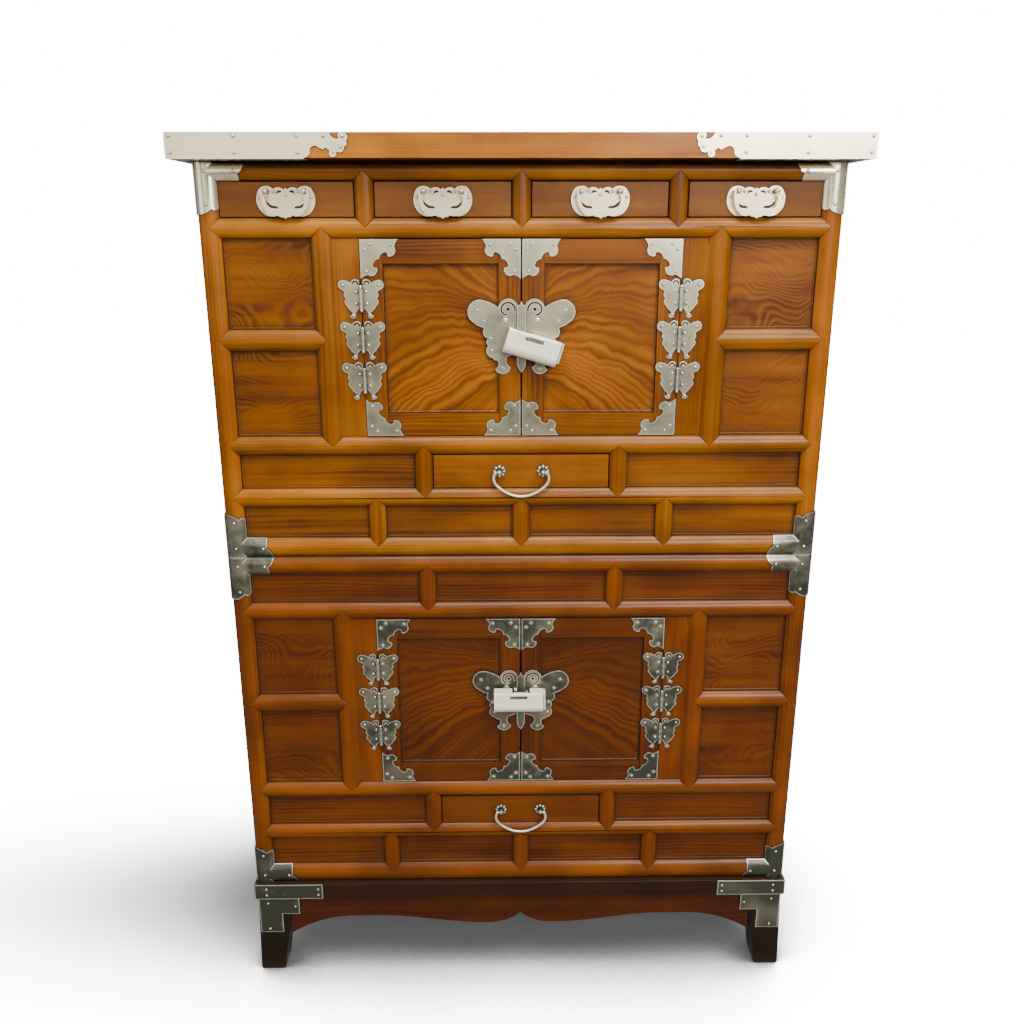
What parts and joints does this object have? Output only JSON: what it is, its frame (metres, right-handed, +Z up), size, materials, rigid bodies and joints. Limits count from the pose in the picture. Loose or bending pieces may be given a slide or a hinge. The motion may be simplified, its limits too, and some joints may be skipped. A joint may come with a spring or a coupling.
{
  "type": "korean two tier chest",
  "caption": "Two stacked wooden cabinets on a scalloped base, with a flat cap, small drawers, hinged double doors with padlocks, and white bronze butterfly fittings.",
  "frame": {"origin": "on the floor, under the middle of the whole chest", "axes": "+X to the right seen from the front, +Y to the back, +Z up"},
  "size_m": [0.9716, 0.4858, 1.4016],
  "materials": {
    "panel_wood": "oiled, figured grain",
    "black_wood": "dark lacquer",
    "dark_wood": "dark lacquer",
    "apron_wood": "dark red-brown oil finish",
    "white_bronze": "worn white bronze, bright edges",
    "inner_wood": "bare, plain sawn",
    "drawer_wood": "oiled",
    "cap_wood": "oiled and waxed",
    "frame_wood": "oiled and waxed, rubbed edges",
    "frame_wood_low": "oiled and waxed, darker"
  },
  "bodies": {
    "carcass": {"base_aprons": "apron_wood", "base_legs": "black_wood", "base_moulding": "dark_wood", "base_mounts": "white_bronze", "cap_board": "cap_wood", "cap_mounts": "white_bronze", "case_nails": "white_bronze", "hinge_jamb_leaves": "white_bronze", "hinge_pins": "white_bronze", "lower_back": "inner_wood", "lower_corner_mounts": "white_bronze", "lower_front_panels": "panel_wood", "lower_front_rails": "frame_wood_low", "lower_inner_boards": "inner_wood", "lower_side_frames": "frame_wood_low", "lower_side_panels": "panel_wood", "lower_uprights": "frame_wood_low", "upper_back": "inner_wood", "upper_corner_mounts": "white_bronze", "upper_front_panels": "panel_wood", "upper_front_rails": "frame_wood", "upper_inner_boards": "inner_wood", "upper_side_frames": "frame_wood", "upper_side_panels": "panel_wood", "upper_uprights": "frame_wood"},
    "lower_right_door": {"lower_right_door_frame": "frame_wood_low", "lower_right_door_panel": "panel_wood", "lower_right_door_plates": "white_bronze"},
    "lower_left_door": {"lower_left_door_frame": "frame_wood_low", "lower_left_door_panel": "panel_wood", "lower_left_door_plates": "white_bronze"},
    "lower_lock_case": {"lower_lock_body": "white_bronze"},
    "lower_lock_bar": {"lower_lock_bolt": "white_bronze"},
    "lower_centre_drawer": {"lower_centre_drawer": "drawer_wood", "lower_centre_rosettes": "white_bronze"},
    "lower_centre_handle": {"lower_centre_bail": "white_bronze"},
    "upper_right_door": {"upper_right_door_frame": "frame_wood", "upper_right_door_panel": "panel_wood", "upper_right_door_plates": "white_bronze"},
    "upper_left_door": {"upper_left_door_frame": "frame_wood", "upper_left_door_panel": "panel_wood", "upper_left_door_plates": "white_bronze"},
    "upper_lock_case": {"upper_lock_body": "white_bronze"},
    "upper_lock_bar": {"upper_lock_bolt": "white_bronze"},
    "upper_centre_drawer": {"upper_centre_drawer": "drawer_wood", "upper_centre_rosettes": "white_bronze"},
    "upper_centre_handle": {"upper_centre_bail": "white_bronze"},
    "drawer_1": {"drawer_1": "drawer_wood", "drawer_1_plate": "white_bronze"},
    "drawer_1_handle": {"drawer_1_bail": "white_bronze"},
    "drawer_2": {"drawer_2": "drawer_wood", "drawer_2_plate": "white_bronze"},
    "drawer_2_handle": {"drawer_2_bail": "white_bronze"},
    "drawer_3": {"drawer_3": "drawer_wood", "drawer_3_plate": "white_bronze"},
    "drawer_3_handle": {"drawer_3_bail": "white_bronze"},
    "drawer_4": {"drawer_4": "drawer_wood", "drawer_4_plate": "white_bronze"},
    "drawer_4_handle": {"drawer_4_bail": "white_bronze"}
  },
  "joints": [
    {"name": "lower_right_door_swing", "type": "hinge", "parent": "carcass", "child": "lower_right_door", "pos_m": [0.2335, -0.1971, 0.5251], "axis": [0, 0, 1], "range_deg": [0, 150]},
    {"name": "lower_left_door_swing", "type": "hinge", "parent": "carcass", "child": "lower_left_door", "pos_m": [-0.2335, -0.1971, 0.5251], "axis": [0, 0, 1], "range_deg": [-150, 0]},
    {"name": "lower_lock_swing", "type": "hinge", "parent": "lower_right_door", "child": "lower_lock_case", "pos_m": [0, -0.2086, 0.5461], "axis": [-1, 0, 0], "range_deg": [0, 70]},
    {"name": "lower_lock_bolt_slide", "type": "slide", "parent": "lower_lock_case", "child": "lower_lock_bar", "axis": [1, 0, 0], "range_m": [0, 0.056]},
    {"name": "lower_centre_drawer_slide", "type": "slide", "parent": "carcass", "child": "lower_centre_drawer", "axis": [0, -1, 0], "range_m": [0, 0.28]},
    {"name": "lower_centre_bail_swing", "type": "hinge", "parent": "lower_centre_drawer", "child": "lower_centre_handle", "pos_m": [0, -0.2056, 0.3206], "axis": [-1, 0, 0], "range_deg": [0, 95]},
    {"name": "upper_right_door_swing", "type": "hinge", "parent": "carcass", "child": "upper_right_door", "pos_m": [0.2335, -0.1971, 1.11845], "axis": [0, 0, 1], "range_deg": [0, 150]},
    {"name": "upper_left_door_swing", "type": "hinge", "parent": "carcass", "child": "upper_left_door", "pos_m": [-0.2335, -0.1971, 1.11845], "axis": [0, 0, 1], "range_deg": [-150, 0]},
    {"name": "upper_lock_swing", "type": "hinge", "parent": "upper_right_door", "child": "upper_lock_case", "pos_m": [0.009, -0.2086, 1.12315], "axis": [-0.9573, 0, 0.289], "range_deg": [0, 70]},
    {"name": "upper_lock_bolt_slide", "type": "slide", "parent": "upper_lock_case", "child": "upper_lock_bar", "axis": [0.9573, 0, -0.289], "range_m": [0, 0.056]},
    {"name": "upper_centre_drawer_slide", "type": "slide", "parent": "carcass", "child": "upper_centre_drawer", "axis": [0, -1, 0], "range_m": [0, 0.28]},
    {"name": "upper_centre_bail_swing", "type": "hinge", "parent": "upper_centre_drawer", "child": "upper_centre_handle", "pos_m": [0, -0.2056, 0.9187], "axis": [-1, 0, 0], "range_deg": [0, 95]},
    {"name": "drawer_1_slide", "type": "slide", "parent": "carcass", "child": "drawer_1", "axis": [0, -1, 0], "range_m": [0, 0.28]},
    {"name": "drawer_1_bail_swing", "type": "hinge", "parent": "drawer_1", "child": "drawer_1_handle", "pos_m": [-0.3335, -0.2056, 1.3272], "axis": [-1, 0, 0], "range_deg": [0, 90]},
    {"name": "drawer_2_slide", "type": "slide", "parent": "carcass", "child": "drawer_2", "axis": [0, -1, 0], "range_m": [0, 0.28]},
    {"name": "drawer_2_bail_swing", "type": "hinge", "parent": "drawer_2", "child": "drawer_2_handle", "pos_m": [-0.11175, -0.2056, 1.3272], "axis": [-1, 0, 0], "range_deg": [0, 90]},
    {"name": "drawer_3_slide", "type": "slide", "parent": "carcass", "child": "drawer_3", "axis": [0, -1, 0], "range_m": [0, 0.28]},
    {"name": "drawer_3_bail_swing", "type": "hinge", "parent": "drawer_3", "child": "drawer_3_handle", "pos_m": [0.11175, -0.2056, 1.3272], "axis": [-1, 0, 0], "range_deg": [0, 90]},
    {"name": "drawer_4_slide", "type": "slide", "parent": "carcass", "child": "drawer_4", "axis": [0, -1, 0], "range_m": [0, 0.28]},
    {"name": "drawer_4_bail_swing", "type": "hinge", "parent": "drawer_4", "child": "drawer_4_handle", "pos_m": [0.3335, -0.2056, 1.3272], "axis": [-1, 0, 0], "range_deg": [0, 90]}
  ],
  "couplings": [
    {"joint": "lower_left_door_swing", "follows": "lower_right_door_swing", "ratio": -1},
    {"joint": "upper_left_door_swing", "follows": "upper_right_door_swing", "ratio": -1}
  ]
}
